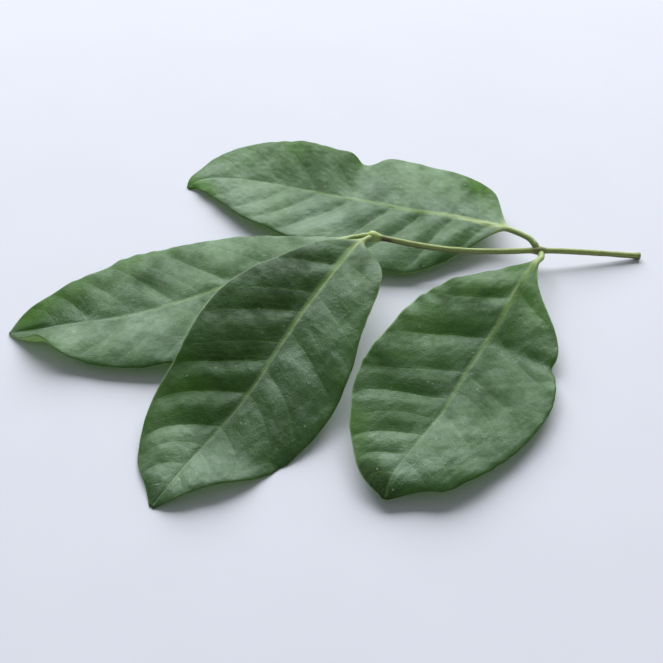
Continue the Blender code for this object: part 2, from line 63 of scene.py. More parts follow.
# Each leaf, seen from the twig with the upper face up:
#   tone      how light its green is beside the shared colours
#   pale_foot share of the blade along which its rib is as pale as the stalk at first
#   rib_end   how much of the rib's own green is left near the tip
#   channel   depth of the channel along its rib
#   painted_sheen_and_shade  soft spots: share of the blade, signed share of the half width (left
#             is positive), size, and how much painted sheen (above 0) or painted shade (below 0)
#             the green is given there
#   fresh     the same for spots of a brighter, more yellow green, partly the blade's own green and
#             partly painted light shining through the blade
#   rib       centre line from the foot of the petiole to the tip
#   socket    point inside the twig that the petiole grows from
#   petiole   length of the bare stalk
#   left, right
#       width   distance from the rib to the margin
#       lift    height of the margin over the rib
#       crown   height of the arch between rib and margin
#       veins   share and groove depth of each lateral vein
#       folds   share, inward depth, spread and drop of a fold in the margin
#       curls   share, spread and rise of a stretch of margin that arches up, if there is one
LEAVES = {
    "leaf_back": {
        "tone": 1.25,
        "pale_foot": 0.3,
        "rib_end": 0.2,
        "channel": 0.08,
        "painted_sheen_and_shade": ((.62, -.55, 11, -.5), (.14, -.82, 8, -.6), (.77, .58, 9, .7), (.54, .6, 9, .9),
                  (.26, .23, 7, -.2), (.78, -.8, 8, -.2), (.93, -.2, 6, .4), (.08, -.4, 7, .4)),
        "fresh": ((.97, .3, 5, 1.2), (.91, .85, 5, 1.1), (.14, -.85, 8, 1.1), (.72, -.88, 7, .6),
                  (.55, -.5, 9, .4), (.2, .85, 8, .4)),
        "rib": [
            (61.6, 22.4, 6.2), (60, 24.2, 7.1), (57.5, 26.2, 7.3), (54.5, 28.4, 7.1), (45, 33.6, 5.9),
            (34.5, 37.9, 5.1), (23.5, 41, 4.5), (13, 45, 4), (2, 48.2, 3.8), (-9, 52.1, 3.4),
            (-20.5, 55.4, 3.6), (-32, 58.3, 3.2), (-42, 59.3, 2.4), (-46.2, 58.7, 1.2), (-48.2, 57.4, 0),
        ],
        "socket": (62.3, 21.4, 5.2),
        "petiole": 9.5,
        "left": {
            "width": (.8, 6.6, 13.8, 21.4, 26.4, 28.4, 28.8, 27.5, 24.9, 22.4, 19.8, 15.6, 10.4, 5.4, .8),
            "lift": (0, -2.2, -1.2, 0.6, 1.0, 0.8, 0, 0),
            "crown": (0, 1.5, 1.0, 0.6, 0.3, 0.3, 0.3, 0),
            "veins": ((.07, .8), (.17, 1.3), (.27, 1.5), (.36, 1.5), (.49, 1.2), (.59, .8), (.68, .7),
                      (.80, .4), (.89, .2)),
            "folds": (),
        },
        "right": {
            "width": (.8, 8.3, 15.2, 20.2, 23.4, 24.6, 25, 23.2, 21.2, 21.4, 19.8, 17.4, 13.2, 5.8, .7),
            "lift": (0, -0.3, -0.8, 0, 2.4, 2.8, 0.4, 0),
            "crown": (0, 0.2, 0.2, 0.2, 0.2, 0.2, 0.2, 0),
            "veins": ((.10, .2), (.22, .2), (.35, .2), (.47, .5), (.60, .3), (.72, .2), (.83, .2)),
            "folds": ((.483, 3.2, .045, 2.4),),
        },
    },
    "leaf_left": {
        "tone": 1.1,
        "pale_foot": 0.2,
        "rib_end": 0.0,
        "channel": 0.1,
        "painted_sheen_and_shade": ((.61, -.62, 8, -.3), (.33, -.4, 8, -.3), (.33, -.85, 6, .6), (.83, .48, 7, .5),
                  (.65, .3, 9, .5), (.94, -.6, 6, -.3), (.47, -.8, 6, -.2), (.04, 0, 8, 1.2)),
        "fresh": ((.94, -.7, 6, 1.3), (.8, -.9, 5, .8), (.62, -.9, 6, .6), (.48, -.92, 5, .4)),
        "rib": [
            (9, 21.4, 10.6), (5, 21.5, 9.8), (0.5, 20.3, 9.2), (-10.5, 15.5, 8), (-23, 9.5, 6.5),
            (-35.5, 3.5, 5), (-46.5, -1, 4), (-63, -6, 3), (-78, -8.2, 2.2), (-89, -8.9, 0.3),
            (-95.5, -10.3, 0),
        ],
        "socket": (10.9, 21.1, 11.1),
        "petiole": 3.5,
        "left": {
            "curls": ((.91, .06, 4.0),),
            "width": (.8, 4.5, 8.5, 12.5, 16.5, 20, 22, 23, 23.5, 22.3, 19.4, 15.8, 12.6, 8.4, .8),
            "lift": (0, -1.5, -2.0, -0.4, 0.8, 0.5, 1.8, 0),
            "crown": (0, 0.8, 0.8, 0.8, 0.7, 0.6, 0.4, 0),
            "veins": ((.10, .4), (.22, .5), (.34, .5), (.46, .5), (.57, .5), (.68, .5), (.79, .4),
                      (.88, .3)),
            "folds": (),
        },
        "right": {
            "width": (.8, 3, 6.1, 10.3, 16.2, 21, 23.5, 24.5, 24.6, 22.8, 19.2, 15.9, 12, 7.2, .7),
            "lift": (0, -0.6, -1.2, -0.6, 1.0, 2.0, 2.2, 0),
            "crown": (0, 0.3, 0.3, 0.3, 0.2, 0.1, 0, 0),
            "veins": ((.12, .3), (.25, .5), (.37, .9), (.46, .2), (.54, .7), (.66, .3), (.78, .6),
                      (.87, .2)),
            "folds": (),
        },
    },
    "leaf_front": {
        "tone": 0.66,
        "pale_foot": 0.08,
        "rib_end": 0.3,
        "channel": 0.15,
        "painted_sheen_and_shade": ((.15, -.8, 7, -.4), (.87, -.45, 9, 1.8), (.12, .4, 6, -.3), (.52, .35, 8, .7),
                  (.88, .4, 7, .5), (.36, -.6, 12, -.4), (.55, -.5, 10, -.4), (.24, -.4, 8, -.3)),
        "fresh": ((.66, -.7, 7, .6), (.8, -.7, 8, .5)),
        "rib": [
            (10.5, 19.5, 11.4), (7, 16.6, 11.9), (3, 10.6, 11.9), (0, 5.5, 11.5), (-5.5, -4, 10.5),
            (-11, -13.6, 9.1), (-17.5, -25.6, 6.6), (-23.5, -36.5, 4), (-33, -51, 2),
            (-40.5, -63, 2.3), (-44.6, -69.8, 1.8), (-48, -73.8, 0),
        ],
        "socket": (12, 21, 11.2),
        "petiole": 1.5,
        "left": {
            "width": (.8, 7.9, 12.9, 16, 17.9, 19.8, 22.3, 23.6, 24, 22.9, 20.6, 16.7, 10.5, 4.8, .8),
            "lift": (0, 2.2, 1.2, 0.2, -0.4, -1.5, 2.0, 0),
            "crown": (0, 0.3, 0.3, 0.8, 0.6, 0.6, 0.6, 0),
            "veins": ((.11, .6), (.25, .6), (.39, .8), (.52, .6), (.60, .5), (.72, .5), (.81, .4),
                      (.90, .3)),
            "folds": (),
        },
        "right": {
            "width": (.8, 6.8, 10.5, 13.4, 18, 21.8, 23.7, 23.5, 22.4, 21.5, 20.2, 17.7, 13.7, 7.8, .9),
            "lift": (0, 2.6, 4.8, 6.8, 7.6, 4.2, -1.5, 0),
            "crown": (0, 0.6, 0.8, 0, 0, 0.5, 1.3, 0),
            "veins": ((.06, .4), (.13, 1.2), (.25, .5), (.32, 1.1), (.43, .5), (.49, 1.3), (.60, 1.2),
                      (.72, 1.1), (.79, .5), (.86, .6), (.93, .3)),
            "folds": (),
        },
    },
    "leaf_right": {
        "tone": 0.92,
        "pale_foot": 0.08,
        "rib_end": 0.25,
        "channel": 0.12,
        "painted_sheen_and_shade": ((.72, .5, 9, .25), (.97, -.2, 5, -.7), (.27, -.5, 9, -.6), (.84, -.42, 7, .9),
                  (.95, -.6, 5, -1.1), (.44, -.6, 8, -.2), (.57, .4, 9, -.5), (.91, .3, 5, .6),
                  (.2, .5, 5, .2), (.6, -.85, 6, -.4), (.64, -.5, 8, -.2), (.74, -.85, 4, .8)),
        "fresh": ((.06, 0, 8, 1.0), (.2, -.6, 8, .5), (.38, -.8, 8, .3), (.22, .6, 7, .6),
                  (.84, -.85, 6, .9), (.8, -.3, 7, .4)),
        "rib": [
            (63.2, 19.5, 4.8), (63.1, 17.8, 5.3), (62, 15.3, 6.5), (60.5, 12.7, 7.6), (55.5, 4.2, 7.8),
            (51, -4.1, 6.6), (46.5, -12.7, 4.7), (40.5, -22, 3), (35, -31.9, 2.4), (30, -42.3, 2.8),
            (24, -52, 3.5), (18.5, -60.6, 4.1), (14.5, -67.2, 3.9), (12.7, -73.2, 2.6),
        ],
        "socket": (63, 21, 5),
        "petiole": 4.5,
        "left": {
            "width": (.8, 1.7, 3.8, 8, 15, 20.4, 24.4, 26.5, 26.5, 24.7, 22.2, 19.2, 15.2, 10, .9),
            "lift": (0, -0.6, -1.2, 1.0, 1.2, 0.4, 0.4, 0),
            "crown": (0, -0.6, -0.4, -0.4, 0.2, 0.6, 0.6, 0),
            "veins": ((.06, .4), (.16, .8), (.33, .7), (.50, .5), (.57, .6), (.67, .5), (.78, .4),
                      (.87, .3)),
            "folds": ((.355, 1.6, .022, 1.2),),
        },
        "right": {
            "width": (.8, 2.6, 7.4, 14, 20, 23, 24, 24.3, 25, 25.4, 23.9, 19.9, 15.2, 8, .9),
            "lift": (0, -0.4, 3.6, 7, 8.2, 5, 1.2, 0),
            "crown": (0, 0.2, 0, -0.6, -0.6, 0, -0.5, 0),
            "veins": ((.08, .5), (.20, 1.2), (.36, 1.2), (.50, .6), (.61, 1.1), (.70, .4), (.77, 1.1),
                      (.85, .8), (.92, .4)),
            "folds": (),
        },
    },
}

# Veins and the pillows between them: shares of the blade or of the half blade, and depths
VEIN_SWEEP = 0.17  # how far a lateral vein runs on towards the tip
SWEEP_POWER = 1.25
GROOVE_SPREAD = 0.065
GROOVE_BOTTOM = 0.009
PILLOW_RISE = 0.4
FULL_DEPTH = 0.6  # mean depth of the grooves beside pillows of full rise
PILLOW_START = 0.15
PILLOW_MIDDLE = 0.45
PILLOW_CALM = 0.7
PILLOW_WIDTH = 8  # half width below which pillows are lower
VEIN_WIDTH = 0.22
VEIN_WIDTH_BY_DEPTH = 0.16
VEIN_TAPER = 0.45
VEIN_SINK = 0.025
VEIN_RIDGE = 0.16  # on the under face
WEAK_VEIN_PLACES = (0.36, 0.68)  # shares of the way between two lateral veins
WEAK_VEIN_WIDTH = 0.28
WEAK_VEIN_WANDER = 0.35
WEAK_VEIN_SINK = 0.02
WEAK_VEIN_RIDGE = 0.05

# Blade
CROWN_WIDTH = 15  # half width below which the arch is lower
END_SHARE = 0.15
TIP_SHARE = 0.12
BLEND_SHARE = 0.06  # share of the blade in which the round stalk flattens into it
LEAST_HALF_WIDTH = 0.3
CURL_START = 0.5
CURL_POWER = 1.5
CURL_DRAW = 0.85  # how far a curled margin is drawn in, as a share of its rise
UNEVENNESS = ((0, 0.13, 0.55), (3, 0.05, 1.2), (1, 0.035, 2.4))  # step of seed, height, pitch

# Margin: depth of the nicks, height of the waves, and the roll and rim of the edge
MARGIN_END = 0.12
NICK_DEPTH = 0.12
WAVE_HEIGHT = 0.22
ROLL_DROP = 0.32
ROLL_WIDTH = 0.7
FAR_ROLL = 0.3
RIM_WIDTH = 0.35
EDGE_WIDTH = 0.32

# Rib: width at the base and what it loses, and the round cord in its channel
RIB_WIDTH = 1.4
RIB_TAPER = 1.05
RIB_FADE = 0.6
CHANNEL_SHARE = 0.9  # shares of the rib's width
CORD_SHARE = 0.55
CORD_HEIGHT = 0.09
RIDGE_WIDTH = 0.8
RIDGE_FADE = 0.8

# Petiole
ROUND_SHARE = 0.96
FOOT_SWELLING = 0.16
UPPER_ROUNDNESS = 0.92

# Fineness of a leaf
EVEN_ROWS = 130
VEIN_STEPS = (-.009, -.005, -.0026, -.0011, 0, .0011, .0026, .005, .009)
FINE_STEPS = (-.0012, 0, .0012)
LEAST_STEP = 0.0007
PETIOLE_ROWS = 22
SOCKET_ROWS = 5
RIB_COLUMNS_END = 0.06
MARGIN_COLUMNS = (0.92, 0.94, 0.955, 0.967, 0.977, 0.985, 0.991, 0.996, 1.0)

# Twig: centre line from the cut end to the knob that carries the front pair
CUT_END = (94.6, 23.2, 0.9)
NODE = (62.5, 21.2, 5)
TWIG_PATH = [
    CUT_END, (93, 23.1, 1.15), (82, 22.4, 2.8), (70, 21.6, 4.4), NODE, (50.5, 19.3, 6.3),
    (39, 18, 7.8), (29, 18, 9.2), (24, 18.6, 9.8), (16, 20, 10.7), (9.6, 21.2, 11.1),
]
NODE_RUN = math.dist(NODE, CUT_END)
CUT_SWELLING = (1.1, 1.5)  # radius and spread
NODE_SWELLING = (1.4, 1.6)
KNOB_SWELLING = (1.8, 2.0)
KNOB_INSET = 1.9
KNOB_ROUNDING = 1.35
SPOT_RUN = 80.0  # brown spot beside the knob
KNOB_GREEN_RUN = (80.9, 82.6)
TWIG_RINGS = 200
KNOB_RINGS = 40
NODE_RINGS = 20
TWIG_SIDES = 40
CUT_INSETS = ((0.00012, 0), (0.0001, -0.00008), (0.0003, 0.00003))  # bark lip, step, dish

# Colours beside those in the settings
YELLOW_AND_GLOW_GREEN = (0.070, 0.190, 0.014)
PAINTED_SHEEN_GREEN = (0.165, 0.265, 0.150)
PAINTED_SHADE_HUE = (1.15, 0.7, 1.05)
SPECK_GREEN = (0.42, 0.50, 0.36)
RIM_GREEN_AND_HIGHLIGHT = (0.38, 0.50, 0.28)
UNDER_CLOUD = (0.15, 0.25, 0.09)
UNDER_NET = (0.28, 0.38, 0.18)
UNDER_VEIN = (0.33, 0.42, 0.20)
UNDER_RIB = (0.34, 0.42, 0.19)
SHEEN_TINT = (0.78, 1.0, 0.84, 1)
LIGHT_THROUGH = (0.55, 0.84, 0.22, 1)
BARK_STREAK = (0.15, 0.14, 0.05)
BARK_SPOT = (0.085, 0.050, 0.030)
KNOB_GREEN = (0.47, 0.60, 0.17)

# Stage: metres, and the camera's tilt from straight down
FLOOR_SIZE = 8
VIEW_MIDDLE = (-0.001, -0.009, 0.0)
VIEW_TILT = math.radians(45)
SENSOR_WIDTH = 36
CLIP_START = 0.01
WINDOW_PLACE = (-0.05, 2.0, 1.25)
WINDOW_SIZE = (2.9, 1.8)
WINDOW_COLOUR = (0.96, 0.97, 1.0)
ROOM_COLOUR = (0.87, 0.94, 0.93, 1)


class SprigLeafSettings(bpy.types.PropertyGroup):
    """Sizes and colours of the leaves."""

    thickness: FloatProperty(
        name="Blade thickness", description="Thickness of the blade between its veins",
        default=0.00045, min=0.0002, max=0.001, unit="LENGTH", subtype="DISTANCE")
    petiole_radius: FloatProperty(
        name="Petiole radius", description="Radius of the bare stalk of a leaf",
        default=0.00092, min=0.0004, max=0.0015, unit="LENGTH", subtype="DISTANCE")
    rib_depth: FloatProperty(
        name="Rib depth", description="How far the rib stands out under the blade at its base",
        default=0.0008, min=0.0, max=0.002, unit="LENGTH", subtype="DISTANCE")
    quilting: FloatProperty(
        name="Quilting", description="Strength of the pillows between the lateral veins",
        default=1.0, min=0.0, max=2.0, subtype="FACTOR")
    upper: FloatVectorProperty(
        name="Upper face", description="Deep green of the upper face",
        default=(0.026, 0.072, 0.023), size=3, min=0, max=1, subtype="COLOR")
    fresh: FloatVectorProperty(
        name="Fresh green", description="Lighter green in the middle of the pillows",
        default=(0.058, 0.140, 0.044), size=3, min=0, max=1, subtype="COLOR")
    under: FloatVectorProperty(
        name="Under face", description="Paler green of the under face",
        default=(0.330, 0.410, 0.240), size=3, min=0, max=1, subtype="COLOR")
    rib: FloatVectorProperty(
        name="Rib and veins", description="Yellow green of the rib and the veins",
        default=(0.135, 0.235, 0.052), size=3, min=0, max=1, subtype="COLOR")
    stalk: FloatVectorProperty(
        name="Stalk", description="Pale yellow green of the stalk and the foot of the rib",
        default=(0.380, 0.480, 0.170), size=3, min=0, max=1, subtype="COLOR")


class SprigTwigSettings(bpy.types.PropertyGroup):
    """Sizes and colours of the twig."""

    radius: FloatProperty(
        name="Twig radius", description="Radius of the plain twig",
        default=0.0009, min=0.0004, max=0.002, unit="LENGTH", subtype="DISTANCE")
    green: FloatVectorProperty(
        name="Young bark", description="Olive green of the young bark",
        default=(0.370, 0.470, 0.130), size=3, min=0, max=1, subtype="COLOR")
    bark_brown_and_shade: FloatVectorProperty(
        name="Brown bark", description="Olive brown of the under side and the node",
        default=(0.120, 0.090, 0.038), size=3, min=0, max=1, subtype="COLOR")
    wood: FloatVectorProperty(
        name="Cut wood", description="Pale wood at the cut end",
        default=(0.420, 0.360, 0.200), size=3, min=0, max=1, subtype="COLOR")


class SprigStageSettings(bpy.types.PropertyGroup):
    """Surface, light and camera."""

    surface: FloatVectorProperty(
        name="Surface", description="Colour of the pale surface",
        default=(0.785, 0.800, 0.880), size=3, min=0, max=1, subtype="COLOR")
    window: FloatProperty(
        name="Window light", description="Power of the large soft light behind the sprig",
        default=115, min=0.0, soft_max=400.0, unit="POWER")
    room: FloatProperty(
        name="Room light", description="Strength of the even light from all round",
        default=0.2, min=0.0, soft_max=5.0)
    lens: FloatProperty(
        name="Lens", description="Focal length of the camera on a 36 mm wide sensor",
        default=73.85, min=10, max=300, unit="CAMERA")
    distance: FloatProperty(
        name="Camera distance", description="Distance of the camera from the middle of its view",
        default=0.4, min=0.1, max=5, unit="LENGTH", subtype="DISTANCE")


def through(where, knots, values):
    """Smooth curve through given knots, with the slope of its neighbours at each."""
    knots = np.asarray(knots, float)
    values = np.asarray(values, float)
    where = np.asarray(where, float)
    slopes = np.gradient(values, knots, axis=0)
    i = np.clip(np.searchsorted(knots, where, side="right") - 1, 0, len(knots) - 2)
    step = knots[i + 1] - knots[i]
    f = (where - knots[i]) / step
    if values.ndim == 2:
        step = step[..., None]
        f = f[..., None]
    start = (2 * f ** 3 - 3 * f ** 2 + 1) * values[i] + (f ** 3 - 2 * f ** 2 + f) * step * slopes[i]
    end = (3 * f ** 2 - 2 * f ** 3) * values[i + 1] + (f ** 3 - f ** 2) * step * slopes[i + 1]
    return start + end


def unit(vectors):
    """Vectors brought to length 1."""
    return vectors / np.linalg.norm(vectors, axis=-1, keepdims=True)


def level_left(heading):
    """Level direction to the left of a heading."""
    return unit(np.stack([-heading[..., 1], heading[..., 0], np.zeros(heading.shape[:-1])], -1))


def smooth(low, high, value):
    """Soft step from 0 below low to 1 above high."""
    f = np.clip((value - low) / (high - low), 0, 1)
    return f * f * (3 - 2 * f)


def bell(offset, width):
    """Soft bump of height 1 around an offset of 0."""
    return np.exp(-(offset / width) ** 2)


def ripple(seed, *fields):
    """Gentle seeded unevenness, about -1 to 1, over one or more fields."""
    draw = np.random.default_rng(seed)
    total = 0
    for _ in range(6):
        phase = draw.uniform(0, 2 * math.pi)
        turn = draw.uniform(-1, 1, len(fields))
        total = total + np.sin(phase + sum(t * field for t, field in zip(turn, fields)))
    return total / 3


class Path:
    """Smooth line through points, read by its share of the whole length."""

    def __init__(self, points):
        self.points = np.array(points, float)
        chords = np.linalg.norm(np.diff(self.points, axis=0), axis=1)
        self.knots = np.concatenate(([0.0], np.cumsum(chords)))
        self.fine = np.linspace(0, self.knots[-1], 801)
        line = through(self.fine, self.knots, self.points)
        run = np.cumsum(np.linalg.norm(np.diff(line, axis=0), axis=1))
        self.length = run[-1]
        self.shares = np.concatenate(([0.0], run / run[-1]))

    def at(self, share):
        """Points at shares of the length."""
        return through(np.interp(share, self.shares, self.fine), self.knots, self.points)

    def heading(self, share, step=0.01):
        """Direction of the line at shares of the length."""
        return unit(self.at(np.clip(share + step, 0, 1)) - self.at(np.clip(share - step, 0, 1)))


def groove(offset):
    """Depth of a vein's groove, with a narrow bottom, at an offset from the vein."""
    away = np.hypot(offset, GROOVE_BOTTOM) - GROOVE_BOTTOM
    return np.clip(1 - away / GROOVE_SPREAD, 0, 1) ** 2


def fine_veins(half):
    """Shares of the weak veins that run between the lateral veins."""
    shares = [share for share, _ in half["veins"]]
    return [a + part * (b - a) for a, b in zip(shares, shares[1:]) for part in WEAK_VEIN_PLACES]


def half_blade(half, along, line, out, quilting):
    """Reach and height over the rib of one half of a blade, and its half width."""
    width = through(along, WIDTH_SHARES, half["width"])
    lift = through(along, LIFT_SHARES, half["lift"])
    for share, depth, spread, drop in half["folds"]:
        fold = bell(along - share, spread)
        width = width - depth * fold
        lift = lift - drop * fold
    width = np.maximum(width, LEAST_HALF_WIDTH)
    ends = np.clip(np.minimum(along, 1 - along) / END_SHARE, 0, 1)
    arch = through(along, LIFT_SHARES, half["crown"]) * np.clip(width / CROWN_WIDTH, 0, 1) * ends
    height = lift * out + arch * 4 * out * (1 - out)

    mean_depth = sum(depth for _, depth in half["veins"]) / len(half["veins"])
    grooves = sum(depth * groove(line - share) for share, depth in half["veins"])
    pillow = PILLOW_RISE * min(1, mean_depth / FULL_DEPTH) - grooves
    outer = np.clip((out - PILLOW_MIDDLE) / (1 - PILLOW_MIDDLE), 0, 1)
    fade = np.clip(out / PILLOW_START, 0, 1) * (1 - PILLOW_CALM * outer)
    height = height + quilting * pillow * fade * np.clip(width / PILLOW_WIDTH, 0, 1)

    reach = width * out
    curled = np.clip((out - CURL_START) / (1 - CURL_START), 0, 1) ** CURL_POWER
    for share, spread, rise in half.get("curls", ()):
        curl = rise * bell(along - share, spread) * curled
        height = height + curl
        reach = reach - CURL_DRAW * curl
    return reach, height, width


def vein_marks(half, line, out, length):
    """How much of a lateral vein, and of a weak vein, each point carries, 0 to 1."""
    strong = np.zeros_like(line)
    for share, depth in half["veins"]:
        half_width = (VEIN_WIDTH + VEIN_WIDTH_BY_DEPTH * depth) * (1 - VEIN_TAPER * out)
        strong = np.maximum(strong, bell((line - share) * length, half_width))
    weak = np.zeros_like(line)
    for share in fine_veins(half):
        wander = WEAK_VEIN_WANDER * np.sin(out * 9 + share * 70)
        weak = np.maximum(weak, bell((line - share) * length + wander, WEAK_VEIN_WIDTH))
    strong = strong * (1 - smooth(0.8, 0.97, out))
    weak = weak * smooth(0.06, 0.2, out) * (1 - smooth(0.6, 0.9, out))
    return strong, weak


def half_columns():
    """Shares of a half blade that carry a column: close at the rib and at the margin."""
    near = np.linspace(0, RIB_COLUMNS_END, 9)[1:]
    middle = np.linspace(RIB_COLUMNS_END, 0.9, 35)[1:]
    return np.concatenate((near, middle, MARGIN_COLUMNS))


def leaf_lines(leaf):
    """Shares of the blade that carry a row: even ones, and close ones at every vein."""
    rows = [np.linspace(0, 1, EVEN_ROWS)]
    for side in ("left", "right"):
        half = leaf[side]
        rows.append(np.add.outer([share for share, _ in half["veins"]], VEIN_STEPS).ravel())
        rows.append(np.add.outer(fine_veins(half), FINE_STEPS).ravel())
    rows = np.unique(np.concatenate(rows))
    rows = rows[(rows >= 0) & (rows <= 1)]
    kept = [0.0]
    for row in rows[1:-1]:
        if row - kept[-1] > LEAST_STEP and 1 - row > LEAST_STEP:
            kept.append(row)
    return np.array(kept + [1.0])


def middle_surface(leaf, seed, path, line, cross, quilting):
    """Surface midway in a blade, with its share along, its reach and its half width."""
    out = np.abs(cross)
    on_left = cross > 0
    along = line + VEIN_SWEEP * 4 * line * (1 - line) * out ** SWEEP_POWER
    foot = leaf["petiole"] / path.length
    share = foot + (1 - foot) * along
    left = half_blade(leaf["left"], along, line, out, quilting)
    right = half_blade(leaf["right"], along, line, out, quilting)
    reach = np.where(on_left, left[0], -right[0])
    width = np.where(on_left, left[2], right[2])
    middle = path.at(share) + level_left(path.heading(share)) * reach[..., None]
    middle[..., 2] += np.where(on_left, left[1], right[1])

    # Uneven skin, calm along the rib and at both ends
    calm = smooth(0, 2.5, np.abs(reach)) * smooth(0, 0.1, 1 - along) * smooth(0, 0.06, along)
    for step, height, pitch in UNEVENNESS:
        fields = middle[..., 0] * pitch, middle[..., 1] * pitch
        middle[..., 2] += height * calm * ripple(seed + step, *fields)

    # Nicks and waves in the margin, which rolls under, mostly in the left half
    run = along * path.length * (1 - foot)
    ends = smooth(0, MARGIN_END, along) * smooth(0, MARGIN_END, 1 - along)
    nicks = smooth(0.8, 1, out) * ends * ripple(seed + 4, run * 1.7 + 30 * np.sign(cross))
    waves = smooth(0.7, 1, out) * ends * ripple(seed + 2, run * 0.9 + 40 * np.sign(cross))
    rolled = np.exp(-(1 - out) * width / ROLL_WIDTH) * np.where(on_left, 1, FAR_ROLL) * ends
    middle[..., 1] += NICK_DEPTH * nicks
    middle[..., 2] += WAVE_HEIGHT * waves - ROLL_DROP * rolled
    return middle, along, reach, width


def petiole_skins(leaf, path, lines, columns, plain):
    """Round stalk from its socket in the twig and on under the rib, as two skins."""
    foot = leaf["petiole"] / path.length
    shares = np.concatenate((
        np.linspace(0, foot, PETIOLE_ROWS + 1)[:-1], foot + (1 - foot) * lines))
    centre = path.at(shares)
    heading = path.heading(shares)
    radius = plain * (1 + FOOT_SWELLING * bell(shares * path.length, 1.0))

    socket = np.array(leaf["socket"], float)
    in_socket = np.linspace(0, 1, SOCKET_ROWS + 1)[:-1, None]
    centre = np.concatenate((socket + (centre[0] - socket) * in_socket, centre))
    heading = np.concatenate((np.repeat(heading[:1], SOCKET_ROWS, axis=0), heading))
    radius = np.concatenate((np.full(SOCKET_ROWS, radius[0]), radius))[:, None, None]

    side = level_left(heading)
    up = np.cross(heading, side)
    angle = math.pi * (0.5 + ROUND_SHARE * (0.5 - np.linspace(0, 1, columns)))
    swing = radius * np.cos(angle)[None, :, None] * side[:, None, :]
    rise = radius * np.sin(angle)[None, :, None] * up[:, None, :]
    return centre[:, None, :] + swing + rise * UPPER_ROUNDNESS, centre[:, None, :] + swing - rise


def shape_leaf(leaf, seed, settings):
    """Points of the upper and the under skin of a leaf, and what its material reads."""
    thickness = settings.thickness / MILLIMETRE
    petiole_radius = settings.petiole_radius / MILLIMETRE
    rib_depth = settings.rib_depth / MILLIMETRE
    path = Path(leaf["rib"])
    length = path.length - leaf["petiole"]
    half = half_columns()
    across = np.concatenate((-half[::-1], [0.0], half))
    columns = len(across)
    lines = leaf_lines(leaf)
    line, cross = np.meshgrid(lines, across, indexing="ij")
    out = np.abs(cross)
    on_left = cross > 0
    middle, along, reach, width = middle_surface(leaf, seed, path, line, cross, settings.quilting)
    inward = (1 - out) * width

    # Relief over and under the middle surface
    left = vein_marks(leaf["left"], line, out, length)
    right = vein_marks(leaf["right"], line, out, length)
    strong, weak = (np.where(on_left, *pair) for pair in zip(left, right))
    rib_width = RIB_WIDTH - RIB_TAPER * along
    channel = leaf["channel"] * (1 - RIB_FADE * along) * bell(reach, CHANNEL_SHARE * rib_width)
    cord = CORD_HEIGHT * (1 - RIB_FADE * along) * bell(reach, CORD_SHARE * rib_width)
    ridge = rib_depth * (1 - RIDGE_FADE * line) * bell(reach, RIDGE_WIDTH)
    rim = np.sqrt(np.clip(1 - np.clip(1 - inward / RIM_WIDTH, 0, 1) ** 2, 0.03, 1))
    above = thickness / 2 * rim - channel + cord - VEIN_SINK * strong - WEAK_VEIN_SINK * weak
    below = (thickness / 2 * rim + ridge + VEIN_RIDGE * strong * (1 - 0.5 * out)
             + WEAK_VEIN_RIDGE * weak)

    normal = unit(np.cross(np.gradient(middle, axis=0), np.gradient(middle, axis=1)))
    hold = np.clip((1 - line) / TIP_SHARE, 0, 1)[..., None]
    normal = unit(normal * hold + np.array((0, 0, 1)) * (1 - hold))

    # The round stalk flattens into the blade, and nothing is below the surface
    top, under = petiole_skins(leaf, path, lines, columns, petiole_radius)
    stalk = PETIOLE_ROWS + SOCKET_ROWS
    blend = smooth(0, BLEND_SHARE, line[:, :1])[..., None]
    top[stalk:] = top[stalk:] * (1 - blend) + (middle + normal * above[..., None]) * blend
    under[stalk:] = under[stalk:] * (1 - blend) + (middle - normal * below[..., None]) * blend

    def whole(field, stalk_value):
        return np.concatenate((np.full((stalk, columns), float(stalk_value)), field))

    under[..., 2] = np.maximum(under[..., 2], 0)
    top[..., 2] = np.maximum(top[..., 2], under[..., 2] + 0.9 * thickness * whole(rim, 1))

    # Painted on the margin: a pale rim, partly its own paler green and partly a painted highlight, along
    # the right margin and near the base of the left one; further on, the left margin gets painted shade
    rim_highlight_and_shade = np.where(on_left, 1 - 1.6 * smooth(0.25, 0.45, along), 1)
    marks = {
        "rib": whole(np.maximum(bell(reach, rib_width), 1 - smooth(0, BLEND_SHARE, line)), 1),
        "vein": whole(strong, 0),
        "weak_vein": whole(weak, 0),
        "edge": whole(bell(inward, EDGE_WIDTH) * rim_highlight_and_shade, 0),
        "along": whole(along, 0),
    }
    for mark in ("painted_sheen_and_shade", "fresh"):
        spots = np.zeros_like(line)
        for share, cross_share, size, amount in leaf[mark]:
            away = np.hypot((along - share) * length, (cross - cross_share) * width)
            spots += amount * bell(away, size)
        marks[mark] = whole(spots, 0)
    flat = np.stack((whole(line * length, 0), whole(reach, 0), np.zeros(top.shape[:2])), -1)
    return top, under, marks, flat


def deselect_all():
    """Object mode, with nothing selected."""
    if bpy.context.object and bpy.context.object.mode != "OBJECT":
        bpy.ops.object.mode_set(mode="OBJECT")
    bpy.ops.object.select_all(action="DESELECT")


def edit_all():
    """Edit mode, with all of the mesh selected."""
    bpy.ops.object.mode_set(mode="EDIT")
    bpy.ops.mesh.select_all(action="SELECT")


def vertex_places(piece):
    """Places of all vertices, one row each."""
    places = np.empty(len(piece.data.vertices) * 3)
    piece.data.vertices.foreach_get("co", places)
    return places.reshape(-1, 3)


